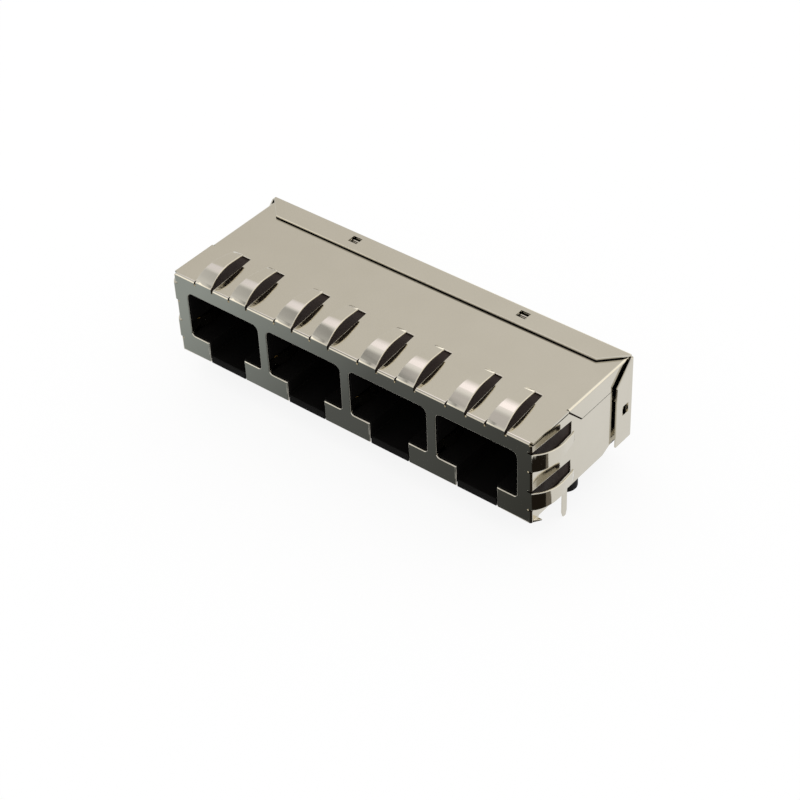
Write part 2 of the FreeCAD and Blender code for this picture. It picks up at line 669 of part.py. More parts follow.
def make_rear_shield():
    """Fold the back plate and its three mitred flaps from one sheet."""
    body = new_body("rear_shield")
    block = rectangle(f"-{OUTER_SIDE}", OUTER_SIDE, SIDE_EDGE, OUTER_TOP)
    pad(body, outline(body, "block", "XZ_Plane", f"-{BACK}", block), "flap_length")
    inner_side, inner_top = f"({SIDE} + flap_stand)", f"({TOP} + flap_lift)"
    inner_y = f"({BACK} - sheet)"
    hollow = rectangle(f"-{inner_side}", inner_side, f"{SIDE_EDGE} - overcut", inner_top)
    hollow = outline(body, "inside", "XZ_Plane", f"-{inner_y}", hollow)
    pocket(body, hollow, "flap_length", back=True)

    corner_z = (f"{OUTER_TOP} - fold_relief", f"{OUTER_TOP} + overcut")
    notch = outline(
        body, "back_relief", "XZ_Plane", f"-{BACK}",
        rectangle(f"{OUTER_SIDE} - fold_relief", f"{OUTER_SIDE} + overcut", *corner_z),
        rectangle(f"-{OUTER_SIDE} - overcut", f"fold_relief - {OUTER_SIDE}", *corner_z),
    )
    pocket(body, notch, "flap_length + overcut", back=True)
    halfway = f"({SIDE_EDGE} + {OUTER_TOP}) / 2"
    outer = [("0", BACK, OUTER_TOP), (OUTER_SIDE, BACK, halfway), (f"-{OUTER_SIDE}", BACK, halfway)]
    soften(body, "outer_folds_back", "Fillet", outer, "fold_radius")
    inner = [("0", inner_y, inner_top)]
    inner += [(inner_side, inner_y, halfway), (f"-{inner_side}", inner_y, halfway)]
    soften(body, "inner_folds_back", "Fillet", inner, "fold_radius - sheet")

    top_mitre = outline(body, "top_mitre", "XY_Plane", OUTER_TOP, [
        (f"{OUTER_SIDE} - mitre_length", f"{FLAP_FRONT} - overcut"),
        (f"{OUTER_SIDE} + overcut", f"{FLAP_FRONT} - overcut"),
        (f"{OUTER_SIDE} + overcut", MITRE_END),
        (f"{OUTER_SIDE} - fold_relief", MITRE_END),
        (f"{OUTER_SIDE} - mitre_length", FLAP_FRONT),
    ])
    side_mitre = outline(body, "side_mitre", "YZ_Plane", OUTER_SIDE, [
        (f"{FLAP_FRONT} - overcut", f"{OUTER_TOP} - mitre_length"),
        (FLAP_FRONT, f"{OUTER_TOP} - mitre_length"),
        (MITRE_END, f"{OUTER_TOP} - fold_relief"),
        (MITRE_END, f"{OUTER_TOP} + overcut"),
        (f"{FLAP_FRONT} - overcut", f"{OUTER_TOP} + overcut"),
    ])
    cuts = [pocket(body, top_mitre, "sheet + lap_gap"), pocket(body, side_mitre, "sheet + lap_gap")]

    half = "(lance_width / 2 + lance_slit)"
    near, far = LANCE_ROOT, f"{LANCE_TIP} + lance_opening"
    top_window = rectangle(f"{PITCH} - {half}", f"{PITCH} + {half}", near, far)
    side_window = rectangle(near, far, f"side_lance_height - {half}", f"side_lance_height + {half}")
    top_window = outline(body, "top_window", "XY_Plane", OUTER_TOP, top_window)
    side_window = outline(body, "side_window", "YZ_Plane", OUTER_SIDE, side_window)
    cuts += [pocket(body, top_window, "sheet + lap_gap"), pocket(body, side_window, "sheet + lap_gap")]
    tongues = [add_tongue(body, "top_tongue", True, PITCH)]
    tongues.append(add_tongue(body, "side_tongue", False, "side_lance_height"))
    pin = pin_outline("back_pin_offset", f"{SIDE_EDGE} + overcut")
    pin = outline(body, "back_pin", "XZ_Plane", f"-{inner_y}", pin)
    mirror(body, "both_ends", cuts + tongues + [pad(body, pin, "sheet", back=True)])
    return body


# Housing

def make_housing():
    """Mould the black block with its plug cavities, latch sills, rear bays, pegs and feet."""
    body = new_body("housing")
    block = rectangle(f"-{HOUSING_SIDE}", HOUSING_SIDE, "housing_lift", HOUSING_TOP)
    block = outline(body, "moulding", "XZ_Plane", f"-{HOUSING_FRONT}", block)
    pad(body, block, f"{HOUSING_BACK} - {HOUSING_FRONT}", back=True)
    halfway = f"({HOUSING_TOP} + housing_lift) / 2"
    depth_middle = f"({HOUSING_FRONT} + {HOUSING_BACK}) / 2"
    edges = [("0", HOUSING_FRONT, HOUSING_TOP)]
    for side in (HOUSING_SIDE, f"-{HOUSING_SIDE}"):
        edges += [(side, HOUSING_FRONT, halfway), (side, depth_middle, HOUSING_TOP)]
    soften(body, "outer_edges", "Chamfer", edges, "housing_edge")

    floor = "(housing_lift + latch_floor)"
    walls = f"{FIRST_PORT} - {CAVITY_HALF}", f"{FIRST_PORT} + {CAVITY_HALF}"
    cavity = rectangle(*walls, CAVITY_FLOOR, CAVITY_TOP)
    latch = "(latch_width / 2 - cavity_inset)"
    latch_walls = f"{FIRST_PORT} - {latch}", f"{FIRST_PORT} + {latch}"
    channel = rectangle(*latch_walls, floor, f"{CAVITY_FLOOR} + overcut")
    sill = rectangle(*latch_walls, "shield_lift", floor)
    recess_y = (f"{HOUSING_FRONT} - overcut", f"{FRONT} + spring_length + spring_room")
    recesses = []
    for sign in ("-", "+"):
        open_side = f"{FIRST_PORT} {sign} ({CAVITY_HALF} - overcut)"
        deep_side = f"{FIRST_PORT} {sign} ({CAVITY_HALF} + spring_recess)"
        recesses.append(rectangle(open_side, deep_side, *recess_y))
    bay_walls = f"{FIRST_PORT} - {BAY_HALF}", f"{FIRST_PORT} + {BAY_HALF}"
    bay = rectangle(*bay_walls, f"{CAVITY_TOP} - overcut", BAY_ROOF)
    leg = rectangle(*bay_walls, "housing_lift - overcut", BAY_ROOF)
    at_front, at_back = f"-{HOUSING_FRONT}", f"-{HOUSING_BACK}"
    sill = outline(body, "sill", "XZ_Plane", f"-({FRONT} + lap_gap)", sill)
    sill = pad(body, sill, "lip_depth", back=True)
    cavity = outline(body, "cavity", "XZ_Plane", at_front, cavity)
    channel = outline(body, "latch_channel", "XZ_Plane", at_front, channel)
    recess = outline(body, "spring_recesses", "XY_Plane", "spring_low - spring_room", *recesses)
    bay = outline(body, "arm_bay", "XZ_Plane", at_back, bay)
    leg = outline(body, "leg_bay", "XZ_Plane", at_back, leg)
    over_ports(body, "cavities", [
        sill,
        pocket(body, cavity, f"{CAVITY_END} - {HOUSING_FRONT}"),
        pocket(body, channel, f"{FRONT} + latch_depth - {HOUSING_FRONT}"),
        pocket(body, recess, "spring_height + 2 * spring_room", back=True),
        pocket(body, bay, f"{HOUSING_BACK} - {FRONT} - header_depth", back=True),
        pocket(body, leg, f"{HOUSING_BACK} - {CAVITY_END}", back=True),
    ])

    feet = new_sketch(body, "feet", "XY_Plane", "housing_lift")
    for web in range(PORTS - 1):
        middle = f"({FIRST_PORT} + {PITCH} * {web + 0.5})"
        across = f"{middle} - foot_length / 2", f"{middle} + foot_length / 2"
        draw(feet, rectangle(*across, "-foot_depth / 2", "foot_depth / 2"))
    for side in (PEG, f"(-{PEG})"):
        draw_circle(feet, side, "0", "peg_radius + boss_width")
    pad(body, feet, "housing_lift", back=True)
    pegs = new_sketch(body, "pegs", "XY_Plane", "0")
    for side in (PEG, f"(-{PEG})"):
        draw_circle(pegs, side, "0", "peg_radius")
    pad(body, pegs, "peg_reach", back=True)
    tips = [(PEG, "peg_radius", "-peg_reach"), (f"-{PEG}", "peg_radius", "-peg_reach")]
    soften(body, "peg_tips", "Chamfer", tips, "peg_chamfer")
    return body


# Contact inserts and contacts

def make_insert(port):
    """Mould a port's comb: an arm under the roof and a leg behind the cavity, with contact slots."""
    body = new_body(f"contact_insert_{port + 1}")
    leg_front = f"{CAVITY_END} + insert_clearance"
    arm_front = f"{HOOK} + hook_cut + contact_thickness / 2 + insert_clearance"
    arm_low = f"{INSERT_TOP} - arm_height"
    block = outline(body, f"comb_{port + 1}", "YZ_Plane", "0", [
        (leg_front, "housing_lift"),
        (INSERT_BACK, "housing_lift"),
        (INSERT_BACK, INSERT_TOP),
        (arm_front, INSERT_TOP),
        (arm_front, arm_low),
        (leg_front, arm_low),
    ])
    pad(body, block, "insert_width", side="Symmetric")
    groove = f"{CONTACT_RUN} - contact_thickness / 2"
    for first, row in enumerate((FRONT_ROW, REAR_ROW)):
        name = f"{port + 1}_{first}"
        wall = f"{row} - contact_thickness / 2"
        across = f"contact_pitch * {first - (CONTACTS - 1) / 2}"
        slot = outline(body, f"slot_{name}", "YZ_Plane", across, [
            (f"{arm_front} - overcut", groove),
            (f"{wall} - knee_cut", groove),
            (wall, f"{groove} - knee_cut"),
            (wall, "housing_lift - overcut"),
            (f"{INSERT_BACK} + overcut", "housing_lift - overcut"),
            (f"{INSERT_BACK} + overcut", f"{INSERT_TOP} + overcut"),
            (f"{arm_front} - overcut", f"{INSERT_TOP} + overcut"),
        ])
        slot = pocket(body, slot, "contact_width + 2 * slot_clearance", side="Symmetric")
        length = f"contact_pitch * {CONTACTS - 2}"
        pattern(body, f"slots_{name}", [slot], "X_Axis", CONTACTS // 2, length)
    bind(body, "Placement.Base.x", f"{FIRST_PORT} + {PITCH} * {port}")
    return body


def make_contact(port, number):
    """Form one contact: solder tail, riser, run under the roof, front bend and the beam for the plug."""
    name = f"contact_{port + 1}_{number + 1}"
    body = new_body(name)
    row = (FRONT_ROW, REAR_ROW)[number % 2]
    beam_start = f"({CONTACT_RUN} - hook_drop)"
    path = new_sketch(body, f"{name}_path", "YZ_Plane", "0")
    draw(path, [
        (row, "-tail_reach"),
        (row, f"{CONTACT_RUN} - knee_cut"),
        (f"{row} - knee_cut", CONTACT_RUN),
        (f"{HOOK} + hook_cut", CONTACT_RUN),
        (HOOK, f"{CONTACT_RUN} - hook_cut"),
        (HOOK, f"{beam_start} + hook_cut"),
        (f"{HOOK} + hook_cut", f"{beam_start} - beam_drop * hook_cut / beam_length"),
        (f"{HOOK} + beam_length", f"{beam_start} - beam_drop"),
    ], closed=False)
    half_width, half_thick = "contact_width / 2", "contact_thickness / 2"
    section = rectangle(f"-{half_width}", half_width, f"{row} - {half_thick}", f"{row} + {half_thick}")
    section = outline(body, f"{name}_section", "XY_Plane", "-tail_reach", section)
    doc.recompute()
    wire = body.newObject("PartDesign::AdditivePipe", f"{name}_wire")
    wire.Profile = section
    wire.Transition = "Right corner"
    wire.Spine = (path, [f"Edge{index + 1}" for index in range(len(path.Shape.Edges))])
    shift = f"contact_pitch * {number - (CONTACTS - 1) / 2}"
    bind(body, "Placement.Base.x", f"{FIRST_PORT} + {PITCH} * {port} + {shift}")
    return body


def write(bodies):
    """Check every object and every sub-part's solid, then write one file for each sub-part."""
    doc.recompute()
    for item in doc.Objects:
        if "Invalid" in item.State or "Error" in item.State:
            raise RuntimeError(f"{item.Name} did not build: {item.State}")
    for body in bodies:
        if body.Shape.isNull() or not body.Shape.isValid() or len(body.Shape.Solids) != 1:
            raise RuntimeError(f"{body.Label} is not one valid solid")
    os.makedirs("parts", exist_ok=True)
    for body in bodies:
        body.Shape.exportStep(f"parts/{body.Label}.step")


pieces = [make_front_shield(), make_rear_shield(), make_housing()]
for port in range(PORTS):
    pieces.append(make_insert(port))
    for number in range(CONTACTS):
        pieces.append(make_contact(port, number))
write(pieces)
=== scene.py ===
"""Looks of a shielded row of plug ports for a circuit board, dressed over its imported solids.

The part's own frame has +X along the row of ports, -Y on the plug side and +Z up from the board. Lengths are in
metres, apart from values named for millimetres and the cards of the studio.
"""

import logging
import math
from dataclasses import dataclass
from enum import Enum

import bmesh
import bpy
from mathutils import Matrix, Vector


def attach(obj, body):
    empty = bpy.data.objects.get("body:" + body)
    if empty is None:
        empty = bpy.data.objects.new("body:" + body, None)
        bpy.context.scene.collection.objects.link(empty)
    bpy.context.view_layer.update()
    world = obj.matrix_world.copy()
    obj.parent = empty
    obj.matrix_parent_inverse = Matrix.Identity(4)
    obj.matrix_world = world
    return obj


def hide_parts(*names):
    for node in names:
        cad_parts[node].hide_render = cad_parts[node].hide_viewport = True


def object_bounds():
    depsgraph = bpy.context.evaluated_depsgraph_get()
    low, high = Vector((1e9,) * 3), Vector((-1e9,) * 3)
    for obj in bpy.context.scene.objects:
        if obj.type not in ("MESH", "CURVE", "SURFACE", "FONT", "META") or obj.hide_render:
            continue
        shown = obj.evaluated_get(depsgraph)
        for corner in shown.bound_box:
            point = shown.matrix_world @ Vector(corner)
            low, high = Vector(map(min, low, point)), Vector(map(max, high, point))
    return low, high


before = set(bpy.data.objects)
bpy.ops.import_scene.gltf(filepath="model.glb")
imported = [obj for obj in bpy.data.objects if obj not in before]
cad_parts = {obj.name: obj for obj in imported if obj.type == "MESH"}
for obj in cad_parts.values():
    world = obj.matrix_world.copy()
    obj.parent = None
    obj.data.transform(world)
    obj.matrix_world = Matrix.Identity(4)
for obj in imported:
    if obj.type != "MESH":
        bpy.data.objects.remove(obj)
CAD_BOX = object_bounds()

LOG = logging.getLogger("jack")
MM = 0.001
BODY = "root"

# A Mix node numbers its sockets through all types of value: these are the two colours and their mixture
MIX_FIRST, MIX_SECOND, MIX_RESULT = 6, 7, 2
# Most values of a noise texture lie between these
NOISE_LOW, NOISE_HIGH = 0.3, 0.7

Triple = tuple[float, float, float]
Inputs = dict[str | int, object]


class Slot(Enum):
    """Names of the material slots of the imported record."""

    SHIELD = "shield"
    HOUSING = "housing"


def to_linear(colour: str) -> tuple[float, float, float, float]:
    """Turn an sRGB hex colour into linear light.

    Args:
        colour: Six hex digits after a hash sign.

    Returns:
        Red, green, blue and an alpha of 1.
    """
    values = [int(colour[i:i + 2], 16) / 255 for i in (1, 3, 5)]
    red, green, blue = [v / 12.92 if v <= 0.04045 else ((v + 0.055) / 1.055) ** 2.4 for v in values]
    return red, green, blue, 1.0


def per_size(size_mm: float) -> float:
    """Give the texture scale at which one feature is as large as the size in millimetres."""
    return 1 / (size_mm * MM)


def start_material(name: str) -> bpy.types.Material:
    """Make a material whose node tree is empty.

    Args:
        name: Name of the material.

    Returns:
        The new material.
    """
    material = bpy.data.materials.new(name)
    material.use_nodes = True
    material.node_tree.nodes.clear()
    return material


def add_node(tree: bpy.types.NodeTree, kind: str, inputs: Inputs | None = None, **settings: object) -> bpy.types.Node:
    """Add one node with its settings, and set or link its inputs.

    Args:
        tree: Tree that gets the node.
        kind: Type name of the node.
        inputs: Socket name or number to a plain value or to the output that feeds it.
        **settings: Properties of the node itself.

    Returns:
        The new node.
    """
    node = tree.nodes.new(kind)
    for name, value in settings.items():
        setattr(node, name, value)
    for name, value in (inputs or {}).items():
        if isinstance(value, bpy.types.NodeSocket):
            tree.links.new(value, node.inputs[name])
        else:
            node.inputs[name].default_value = value
    return node


def add_object(shape: bmesh.types.BMesh, name: str, material: bpy.types.Material) -> bpy.types.Object:
    """Turn a finished shape into an object of the scene.

    Args:
        shape: Shape of the object, which is used up.
        name: Name of the object and of its mesh.
        material: Finish of the whole object.

    Returns:
        The new object.
    """
    mesh = bpy.data.meshes.new(name)
    shape.to_mesh(mesh)
    shape.free()
    mesh.materials.append(material)
    made = bpy.data.objects.new(name, mesh)
    bpy.context.scene.collection.objects.link(made)
    return made


# Finishes

@dataclass(frozen=True)
class NickelPlate:
    """Satin nickel over rolled steel sheet: a warm grey mirror, softened by the fine grain of the rolls."""

    name: str = "satin_nickel_plate"
    tone: str = "#C5C0B3"
    light_tone: str = "#CCC7BB"
    roughness: float = 0.09
    roughness_spread: float = 0.02
    mottle_mm: float = 6.0
    mottle_detail: float = 4.0
    # Roll grain is about 0.05 mm wide, drawn coarser so that it shows in the render
    grain_mm: float = 0.3
    grain_detail: float = 3.0
    grain_stretch: float = 9.0
    grain_depth_mm: float = 0.00015
    wave_mm: float = 7.0
    wave_detail: float = 1.0
    wave_depth_mm: float = 0.0025

    def build(self) -> bpy.types.Material:
        """Make the material.

        Returns:
            The finished material.
        """
        material = start_material(self.name)
        tree = material.node_tree
        place = add_node(tree, "ShaderNodeTexCoord").outputs["Object"]
        mottle = add_node(tree, "ShaderNodeTexNoise", {
            "Vector": place, "Scale": per_size(self.mottle_mm), "Detail": self.mottle_detail,
        })
        along = add_node(tree, "ShaderNodeMapping", {"Vector": place, "Scale": (1 / self.grain_stretch, 1.0, 1.0)})
        grain = add_node(tree, "ShaderNodeTexNoise", {
            "Vector": along.outputs["Vector"], "Scale": per_size(self.grain_mm), "Detail": self.grain_detail,
        })
        wave = add_node(tree, "ShaderNodeTexNoise", {
            "Vector": place, "Scale": per_size(self.wave_mm), "Detail": self.wave_detail,
        })
        colour = add_node(tree, "ShaderNodeMix", {
            "Factor": mottle.outputs["Fac"],
            MIX_FIRST: to_linear(self.tone), MIX_SECOND: to_linear(self.light_tone),
        }, data_type="RGBA")
        rough = add_node(tree, "ShaderNodeMapRange", {
            "Value": grain.outputs["Fac"], "From Min": NOISE_LOW, "From Max": NOISE_HIGH,
            "To Min": self.roughness - self.roughness_spread, "To Max": self.roughness + self.roughness_spread,
        })
        swell = add_node(tree, "ShaderNodeBump", {
            "Height": wave.outputs["Fac"], "Distance": self.wave_depth_mm * MM,
        })
        scratch = add_node(tree, "ShaderNodeBump", {
            "Height": grain.outputs["Fac"], "Distance": self.grain_depth_mm * MM, "Normal": swell.outputs["Normal"],
        })
        shader = add_node(tree, "ShaderNodeBsdfPrincipled", {
            "Base Color": colour.outputs[MIX_RESULT], "Metallic": 1.0, "Roughness": rough.outputs["Result"],
            "Normal": scratch.outputs["Normal"],
        })
        add_node(tree, "ShaderNodeOutputMaterial", {"Surface": shader.outputs["BSDF"]})
        return material


@dataclass(frozen=True)
class MouldedPlastic:
    """Glass-filled black polyester.

    Its inside is painted near black, as painted shade in the cavities, and its top and sides a lighter brown-black,
    as painted sheen.
    """

    name: str
    tone: str
    light_tone: str
    painted_sheen_tone: str
    # The painted sheen of the outside lies above this height, or further than this from the middle
    sheen_top_mm: float = 12.2
    sheen_side_mm: float = 28.6
    roughness: float = 0.62
    roughness_spread: float = 0.08
    ior: float = 1.55
    specular: float = 0.07
    mottle_mm: float = 3.0
    mottle_detail: float = 3.0
    # Spark grain is about 0.04 mm, drawn coarser so that it shows in the render
    grain_mm: float = 0.18
    grain_detail: float = 2.0
    grain_depth_mm: float = 0.006

    def build(self) -> bpy.types.Material:
        """Make the material.

        Returns:
            The finished material.
        """
        material = start_material(self.name)
        tree = material.node_tree
        place = add_node(tree, "ShaderNodeTexCoord").outputs["Object"]
        mottle = add_node(tree, "ShaderNodeTexNoise", {
            "Vector": place, "Scale": per_size(self.mottle_mm), "Detail": self.mottle_detail,
        })
        grain = add_node(tree, "ShaderNodeTexNoise", {
            "Vector": place, "Scale": per_size(self.grain_mm), "Detail": self.grain_detail,
        })
        shaded_inside = add_node(tree, "ShaderNodeMix", {
            "Factor": mottle.outputs["Fac"],
            MIX_FIRST: to_linear(self.tone), MIX_SECOND: to_linear(self.light_tone),
        }, data_type="RGBA")
        # Painted sheen: the top and sides take the lighter tone, and the inside keeps the darker mottled one as
        # painted shade
        axes = add_node(tree, "ShaderNodeSeparateXYZ", {"Vector": place})
        aside = add_node(tree, "ShaderNodeMath", {0: axes.outputs["X"]}, operation="ABSOLUTE")
        above = add_node(tree, "ShaderNodeMath", {
            0: axes.outputs["Z"], 1: self.sheen_top_mm * MM,
        }, operation="GREATER_THAN")
        beside = add_node(tree, "ShaderNodeMath", {
            0: aside.outputs["Value"], 1: self.sheen_side_mm * MM,
        }, operation="GREATER_THAN")
        painted_sheen = add_node(tree, "ShaderNodeMath", {
            0: above.outputs["Value"], 1: beside.outputs["Value"],
        }, operation="MAXIMUM")
        colour = add_node(tree, "ShaderNodeMix", {
            "Factor": painted_sheen.outputs["Value"],
            MIX_FIRST: shaded_inside.outputs[MIX_RESULT], MIX_SECOND: to_linear(self.painted_sheen_tone),
        }, data_type="RGBA")
        rough = add_node(tree, "ShaderNodeMapRange", {
            "Value": mottle.outputs["Fac"], "From Min": NOISE_LOW, "From Max": NOISE_HIGH,
            "To Min": self.roughness - self.roughness_spread, "To Max": self.roughness + self.roughness_spread,
        })
        bump = add_node(tree, "ShaderNodeBump", {
            "Height": grain.outputs["Fac"], "Distance": self.grain_depth_mm * MM,
        })
        shader = add_node(tree, "ShaderNodeBsdfPrincipled", {
            "Base Color": colour.outputs[MIX_RESULT], "Roughness": rough.outputs["Result"], "IOR": self.ior,
            "Specular IOR Level": self.specular, "Normal": bump.outputs["Normal"],
        })
        add_node(tree, "ShaderNodeOutputMaterial", {"Surface": shader.outputs["BSDF"]})
        return material


@dataclass(frozen=True)
class GoldFlash:
    """Gold flash over phosphor bronze with tinned tails: warm yellow springs that turn grey towards the board."""

    name: str = "gold_flashed_bronze"
    gold: str = "#D8B066"
    tin: str = "#B9BABA"
    roughness: float = 0.24
    plating_line_mm: float = 0.6
    plating_fade_mm: float = 0.5
    # The grain of plating is far finer, drawn coarser so that it shows in the render
    grain_mm: float = 0.25
    grain_detail: float = 2.0
    grain_depth_mm: float = 0.002

    def build(self) -> bpy.types.Material:
        """Make the material.

        Returns:
            The finished material.
        """
        material = start_material(self.name)
        tree = material.node_tree
        place = add_node(tree, "ShaderNodeTexCoord").outputs["Object"]
        height = add_node(tree, "ShaderNodeSeparateXYZ", {"Vector": place}).outputs["Z"]
        line, fade = self.plating_line_mm * MM, self.plating_fade_mm * MM
        plated = add_node(tree, "ShaderNodeMapRange", {
            "Value": height, "From Min": line - fade / 2, "From Max": line + fade / 2,
        }, interpolation_type="SMOOTHSTEP")
        colour = add_node(tree, "ShaderNodeMix", {
            "Factor": plated.outputs["Result"],
            MIX_FIRST: to_linear(self.tin), MIX_SECOND: to_linear(self.gold),
        }, data_type="RGBA")
        grain = add_node(tree, "ShaderNodeTexNoise", {
            "Vector": place, "Scale": per_size(self.grain_mm), "Detail": self.grain_detail,
        })
        bump = add_node(tree, "ShaderNodeBump", {
            "Height": grain.outputs["Fac"], "Distance": self.grain_depth_mm * MM,
        })
        shader = add_node(tree, "ShaderNodeBsdfPrincipled", {
            "Base Color": colour.outputs[MIX_RESULT], "Metallic": 1.0, "Roughness": self.roughness,
            "Normal": bump.outputs["Normal"],
        })
        add_node(tree, "ShaderNodeOutputMaterial", {"Surface": shader.outputs["BSDF"]})
        return material


NICKEL = NickelPlate()
# The last tone of each is a painted sheen on the top and sides; the inside stays darker as painted shade
HOUSING_BLACK = MouldedPlastic("black_polyester_housing", "#0A0908", "#0E0C0B", "#352C28")
INSERT_BLACK = MouldedPlastic("black_polyester_insert", "#0F0D0C", "#151312", "#151312", roughness=0.54)
GOLD = GoldFlash()


# Pieces of the jack

@dataclass(frozen=True)
class Zone:
    """A box around a fine sheared detail whose edges stay crisp."""

    low: Triple
    high: Triple

    def holds(self, edge: bmesh.types.BMEdge) -> bool:
        """Tell whether both ends of an edge lie in the box.

        Args:
            edge: Edge of the piece.

        Returns:
            True where it lies inside.
        """
        return all(
            low <= value <= high
            for vert in edge.verts for low, value, high in zip(self.low, vert.co, self.high)
        )

    def mirrored(self) -> "Zone":
        """Give the same box on the other side of the middle."""
        return Zone((-self.high[0], *self.low[1:]), (-self.low[0], *self.high[1:]))


@dataclass
class EdgedPiece:
    """A copy of one solid whose sharp edges are broken, as stamping, tumbling or moulding leaves them."""

    node: str
    name: str
    slot: Slot
    edge_break: float
    edge_steps: int = 2
    crisp_zones: tuple[Zone, ...] = ()
    # Die roll rounds the edges of a plate's punched front more than a plain cut
    roll_break: float = 0.0
    roll_steps: int = 4
    merge_reach: float = 0.001 * MM
    flat_angle: float = math.radians(0.4)
    sharp_angle: float = math.radians(28)
    normal_weight: int = 60

    def build(self, material: bpy.types.Material) -> bpy.types.Object:
        """Model the copy, dress it and let it stand for its solid.

        Args:
            material: Finish of the whole piece.

        Returns:
            The new object.
        """
        piece = add_object(self.model(), self.name, material)
        shading = piece.modifiers.new("even_shading", "WEIGHTED_NORMAL")
        shading.mode = "FACE_AREA"
        shading.weight = self.normal_weight
        shading.keep_sharp = True
        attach(piece, BODY)
        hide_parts(self.node)
        return piece

    def model(self) -> bmesh.types.BMesh:
        """Merge the solid's triangles, clear its flat faces and break its sharp edges.

        Returns:
            The shape of the piece.
        """
        shape = bmesh.new()
        shape.from_mesh(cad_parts[self.node].data)
        bmesh.ops.remove_doubles(shape, verts=shape.verts, dist=self.merge_reach)
        bmesh.ops.dissolve_limit(shape, angle_limit=self.flat_angle, verts=shape.verts, edges=shape.edges)
        if self.roll_break:
            rolled = [edge for edge in self.sharp_edges(shape) if self.is_punched(edge) and not self.is_crisp(edge)]
            self.round_off(shape, rolled, self.roll_break, self.roll_steps)
        broken = [edge for edge in self.sharp_edges(shape) if not self.is_crisp(edge)]
        self.round_off(shape, broken, self.edge_break, self.edge_steps)
        # Where two roundings end on one spot they leave faces of no width
        bmesh.ops.remove_doubles(shape, verts=shape.verts, dist=self.merge_reach)
        for face in shape.faces:
            face.smooth = True
        for edge in self.sharp_edges(shape):
            edge.smooth = not self.is_crisp(edge)
        return shape

    @staticmethod
    def round_off(shape: bmesh.types.BMesh, edges: list[bmesh.types.BMEdge], offset: float, steps: int) -> None:
        """Round some edges of a shape.

        Args:
            shape: Shape that is changed.
            edges: Its edges to round.
            offset: Distance from the edge to where the rounding starts.
            steps: Number of faces across the rounding.
        """
        bmesh.ops.bevel(
            shape, geom=edges, offset=offset, offset_type="OFFSET", affect="EDGES",
            segments=steps, profile=0.5, material=-1, clamp_overlap=False,
        )

    def sharp_edges(self, shape: bmesh.types.BMesh) -> list[bmesh.types.BMEdge]:
        """List the edges at which the surface turns sharply."""
        return [edge for edge in shape.edges if edge.calc_face_angle(0.0) > self.sharp_angle]

    def is_punched(self, edge: bmesh.types.BMEdge) -> bool:
        """Tell whether an edge lies in the front face."""
        return all(vert.co.y < CAD_BOX[0].y + self.merge_reach for vert in edge.verts)

    def is_crisp(self, edge: bmesh.types.BMEdge) -> bool:
        """Tell whether an edge lies in one of the crisp zones."""
        return any(zone.holds(edge) for zone in self.crisp_zones)


@dataclass
class Shield:
    """The two folded sheets that wrap the jack."""

    edge_break: float = 0.09 * MM
    edge_steps: int = 3
    roll_break: float = 0.15 * MM
    # The sheets as they are packed
    sheet: float = 0.25 * MM
    side_face: float = 29.405 * MM
    top_face: float = 13.05 * MM
    flap_lift: float = 0.18 * MM
    flap_stand: float = 0.3 * MM
    slit_depth: float = 0.7 * MM
    seam_gap: float = 0.18 * MM
    skirt_front: float = -3.3 * MM
    skirt_low: float = 9.95 * MM
    lance_across: float = 13.97 * MM
    lance_height: float = 5.7 * MM
    lance_along: tuple[float, float] = (7.4 * MM, 9.1 * MM)
    lance_half: float = 0.85 * MM
    # Zones reach this much past what they box in
    margin: float = 0.03 * MM

    def build(self) -> list[bpy.types.Object]:
        """Make both sheets.

        Returns:
            The front and the rear sheet.
        """
        material = NICKEL.build()
        zones = self.lances() + self.seams()
        sheets = [
            EdgedPiece(node, f"{node}_sheet", Slot.SHIELD, self.edge_break, self.edge_steps, zones, self.roll_break)
            for node in ("front_shield", "rear_shield")
        ]
        return [sheet.build(material) for sheet in sheets]

    def lances(self) -> tuple[Zone, ...]:
        """Box in the four lanced tongues of the rear sheet with their slots.

        Returns:
            One zone for each tongue.
        """
        high = CAD_BOX[1]
        front, back = self.lance_along
        half = self.lance_half
        on_top = Zone((self.lance_across - half, front, 0.0), (self.lance_across + half, back, high.z))
        on_side = Zone((0.0, front, self.lance_height - half), (high.x, back, self.lance_height + half))
        return on_top, on_top.mirrored(), on_side, on_side.mirrored()

    def seams(self) -> tuple[Zone, ...]:
        """Box in the edges along narrow gaps: slits in the front folds, side seams and undersides of the rear flaps.

        Returns:
            All zones of both sheets.
        """
        low, high = CAD_BOX
        margin, gap = self.margin, self.seam_gap
        inside, outside = self.side_face - self.slit_depth, self.side_face + margin
        under, above = self.top_face - self.sheet, self.top_face + margin
        fold = low.y + self.slit_depth
        top_slits = Zone((low.x, low.y, self.top_face - self.slit_depth), (high.x, fold, above))
        side_slits = Zone((inside, low.y, 0.0), (outside, fold, self.top_face))
        top_seam = Zone((inside, low.y, under - gap - margin), (outside, self.skirt_front + margin, above))
        before_skirt = self.skirt_front - gap - margin
        skirt = Zone((inside, before_skirt, self.skirt_low - gap), (outside, high.y, under + margin))
        lift, stand = self.top_face + self.flap_lift, self.side_face + self.flap_stand
        top_flap = Zone((low.x, low.y, lift - margin), (high.x, high.y, lift + margin))
        side_flap = Zone((stand - margin, low.y, low.z), (stand + margin, high.y, high.z))
        paired = (side_slits, top_seam, skirt, side_flap)
        return top_slits, top_flap, *paired, *(zone.mirrored() for zone in paired)


